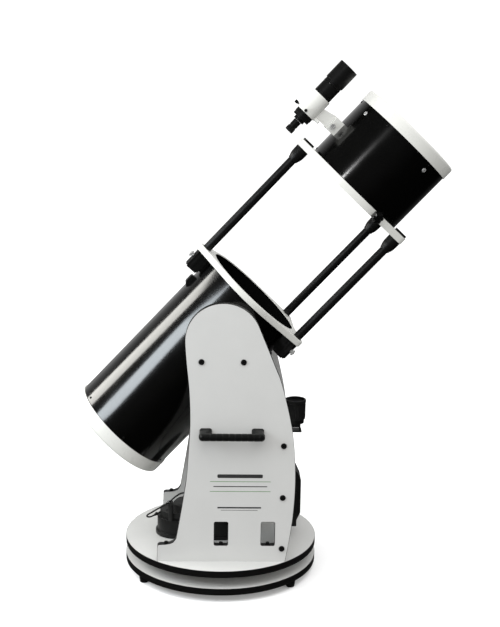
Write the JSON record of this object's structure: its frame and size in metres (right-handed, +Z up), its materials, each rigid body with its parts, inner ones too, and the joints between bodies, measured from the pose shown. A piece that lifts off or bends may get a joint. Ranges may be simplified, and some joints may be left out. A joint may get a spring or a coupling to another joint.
{
  "type": "dobsonian telescope",
  "caption": "Truss-tube Newtonian reflector on a motor-driven rocker mount that turns in azimuth and tilts in altitude; the cage slides down its struts to store.",
  "frame": {"origin": "on the azimuth axis at floor level, under the centre of the round base", "axes": "+Z up; the tube axis lies in the XZ plane and points up towards +X at 47 degrees; +Y to the far side panel"},
  "size_m": [0.9867, 0.5578, 1.385],
  "materials": {
    "white_laminate": "satin laminated board",
    "edge_band": "black edge banding",
    "tube_black": "gloss black enamel",
    "tube_white": "gloss white",
    "black_plastic": "satin black",
    "grey_plastic": "satin dark grey",
    "strut_black": "black anodised",
    "zinc": "zinc plated",
    "chrome": "polished",
    "mirror": "aluminised glass",
    "rubber": "black rubber",
    "key_rubber": "grey silicone"
  },
  "bodies": {
    "ground": {"ground_board": "white_laminate", "ground_band": "edge_band", "feet": "rubber", "azimuth_wheel": "zinc", "pivot_bolt": "zinc"},
    "rocker": {"base_board": "white_laminate", "base_band": "edge_band", "side_panel_near": "white_laminate", "side_panel_far": "white_laminate", "panel_bands": "edge_band", "front_board": "white_laminate", "carry_handles": "black_plastic", "panel_bolts": "black_plastic", "azimuth_housing": "black_plastic", "azimuth_cover": "grey_plastic", "azimuth_motor": "zinc", "altitude_housing": "black_plastic", "altitude_bearing": "black_plastic", "drive_cable": "rubber", "handset_cradle": "black_plastic", "eyepiece_rack": "black_plastic"},
    "az_roller": {"azimuth_roller": "zinc"},
    "switch": {"power_switch": "black_plastic"},
    "handset": {"handset": "black_plastic"},
    "keypad": {"keypad": "key_rubber"},
    "spare_eyepiece": {"spare_eyepiece": "black_plastic"},
    "optical_tube": {"lower_tube": "tube_black", "lower_end_ring": "tube_white", "primary_mirror": "mirror", "mirror_cell": "black_plastic", "lower_truss_ring": "tube_white", "clamp_blocks": "black_plastic", "trunnions": "black_plastic"},
    "collimation_a": {"collimation_knob_a": "black_plastic"},
    "collimation_b": {"collimation_knob_b": "black_plastic"},
    "collimation_c": {"collimation_knob_c": "black_plastic"},
    "clamp_a": {"clamp_screw_a": "zinc"},
    "clamp_b": {"clamp_screw_b": "zinc"},
    "clamp_c": {"clamp_screw_c": "zinc"},
    "cage": {"struts": "strut_black", "strut_sockets": "black_plastic", "upper_truss_ring": "tube_white", "upper_tube": "tube_black", "upper_end_ring": "tube_white", "spider": "black_plastic", "secondary_mirror": "mirror", "cage_screws": "zinc", "focuser_base": "black_plastic", "finder_shoe": "tube_white"},
    "ring_knob": {"ring_knob": "black_plastic"},
    "drawtube": {"drawtube": "chrome"},
    "focus_knobs": {"focus_knobs": "black_plastic"},
    "eyepiece": {"eyepiece": "black_plastic"},
    "shoe_screw": {"shoe_screw": "zinc"},
    "finder": {"finder_bracket": "tube_white", "finder_tube": "black_plastic"},
    "dew_shield": {"dew_shield": "black_plastic"},
    "finder_eyepiece": {"finder_eyepiece": "black_plastic"},
    "adjust_a": {"adjust_screw_a": "black_plastic"},
    "adjust_b": {"adjust_screw_b": "black_plastic"}
  },
  "joints": [
    {"name": "azimuth", "type": "hinge", "parent": "ground", "child": "rocker", "pos_m": [0, 0, 0.06], "axis": [0, 0, 1], "continuous": true},
    {"name": "azimuth_drive", "type": "hinge", "parent": "rocker", "child": "az_roller", "pos_m": [-0.126, 0, 0.05], "axis": [0, 0, 1], "continuous": true},
    {"name": "altitude", "type": "hinge", "parent": "rocker", "child": "optical_tube", "pos_m": [0, 0, 0.687], "axis": [0, -1, 0], "range_deg": [-47, 43]},
    {"name": "power_switch", "type": "hinge", "parent": "rocker", "child": "switch", "pos_m": [0.024, 0, 0.1565], "axis": [0, 1, 0], "range_deg": [-12, 0]},
    {"name": "handset_lift", "type": "slide", "parent": "rocker", "child": "handset", "axis": [0, 0, 1], "range_m": [0, 0.095]},
    {"name": "keypad_press", "type": "slide", "parent": "handset", "child": "keypad", "axis": [-1, 0, 0], "range_m": [0, 0.0007], "stiffness_N_per_m": 500},
    {"name": "spare_eyepiece_lift", "type": "slide", "parent": "rocker", "child": "spare_eyepiece", "axis": [0, 0, 1], "range_m": [0, 0.05]},
    {"name": "collimation_a", "type": "hinge", "parent": "optical_tube", "child": "collimation_a", "pos_m": [-0.28508, -0.108, 0.38129], "axis": [0.682, 0, 0.7314], "range_deg": [-180, 180]},
    {"name": "collimation_b", "type": "hinge", "parent": "optical_tube", "child": "collimation_b", "pos_m": [-0.21667, 0.054, 0.31751], "axis": [0.682, 0, 0.7314], "range_deg": [-180, 180]},
    {"name": "collimation_c", "type": "hinge", "parent": "optical_tube", "child": "collimation_c", "pos_m": [-0.35348, 0.054, 0.44508], "axis": [0.682, 0, 0.7314], "range_deg": [-180, 180]},
    {"name": "strut_clamp_a", "type": "hinge", "parent": "optical_tube", "child": "clamp_a", "pos_m": [-0.08376, -0.02882, 0.87996], "axis": [-0.7233, -0.1478, 0.6745], "range_deg": [0, 360]},
    {"name": "strut_clamp_b", "type": "hinge", "parent": "optical_tube", "child": "clamp_b", "pos_m": [0.16074, 0.13423, 0.65197], "axis": [0.5305, 0.6884, -0.4947], "range_deg": [0, 360]},
    {"name": "strut_clamp_c", "type": "hinge", "parent": "optical_tube", "child": "clamp_c", "pos_m": [0.1808, -0.0975, 0.63326], "axis": [0.6334, -0.5, -0.5906], "range_deg": [0, 360]},
    {"name": "truss_slide", "type": "slide", "parent": "optical_tube", "child": "cage", "axis": [0.682, 0, 0.7314], "range_m": [-0.27, 0]},
    {"name": "ring_lock", "type": "hinge", "parent": "cage", "child": "ring_knob", "pos_m": [0.3836, -0.15074, 0.99996], "axis": [0.2975, -0.9135, -0.2774], "range_deg": [-90, 90]},
    {"name": "focus_travel", "type": "slide", "parent": "cage", "child": "drawtube", "axis": [-0.127, 0.9848, 0.1184], "range_m": [-0.01, 0.025]},
    {"name": "focus_knobs", "type": "hinge", "parent": "cage", "child": "focus_knobs", "pos_m": [0.40734, 0.16249, 1.16583], "axis": [-0.7202, -0.1736, 0.6716], "range_deg": [-90, 180]},
    {"name": "eyepiece_draw", "type": "slide", "parent": "drawtube", "child": "eyepiece", "axis": [-0.127, 0.9848, 0.1184], "range_m": [0, 0.04]},
    {"name": "finder_clamp", "type": "hinge", "parent": "cage", "child": "shoe_screw", "pos_m": [0.27473, -0.04211, 1.21839], "axis": [0.0764, -0.9945, -0.0713], "range_deg": [0, 360]},
    {"name": "finder_slide", "type": "slide", "parent": "cage", "child": "finder", "axis": [0.682, 0, 0.7314], "range_m": [0, 0.05]},
    {"name": "finder_focus", "type": "hinge", "parent": "finder", "child": "dew_shield", "pos_m": [0.29283, -0.02456, 1.34371], "axis": [0.682, 0, 0.7314], "range_deg": [-120, 120]},
    {"name": "finder_eyepiece_turn", "type": "hinge", "parent": "finder", "child": "finder_eyepiece", "pos_m": [0.17348, -0.02456, 1.21572], "axis": [0.682, 0, 0.7314], "range_deg": [-90, 90]},
    {"name": "finder_adjust_a", "type": "hinge", "parent": "finder", "child": "adjust_a", "pos_m": [0.18188, -0.01878, 1.27831], "axis": [-0.7223, 0.1564, 0.6736], "range_deg": [-180, 180]},
    {"name": "finder_adjust_b", "type": "hinge", "parent": "finder", "child": "adjust_b", "pos_m": [0.20344, -0.06088, 1.25821], "axis": [-0.1395, -0.9816, 0.1301], "range_deg": [-180, 180]}
  ],
  "couplings": [
    {"joint": "azimuth_drive", "follows": "azimuth", "ratio": 4.7136},
    {"joint": "focus_knobs", "follows": "focus_travel", "rad_per_m": 103.09}
  ]
}
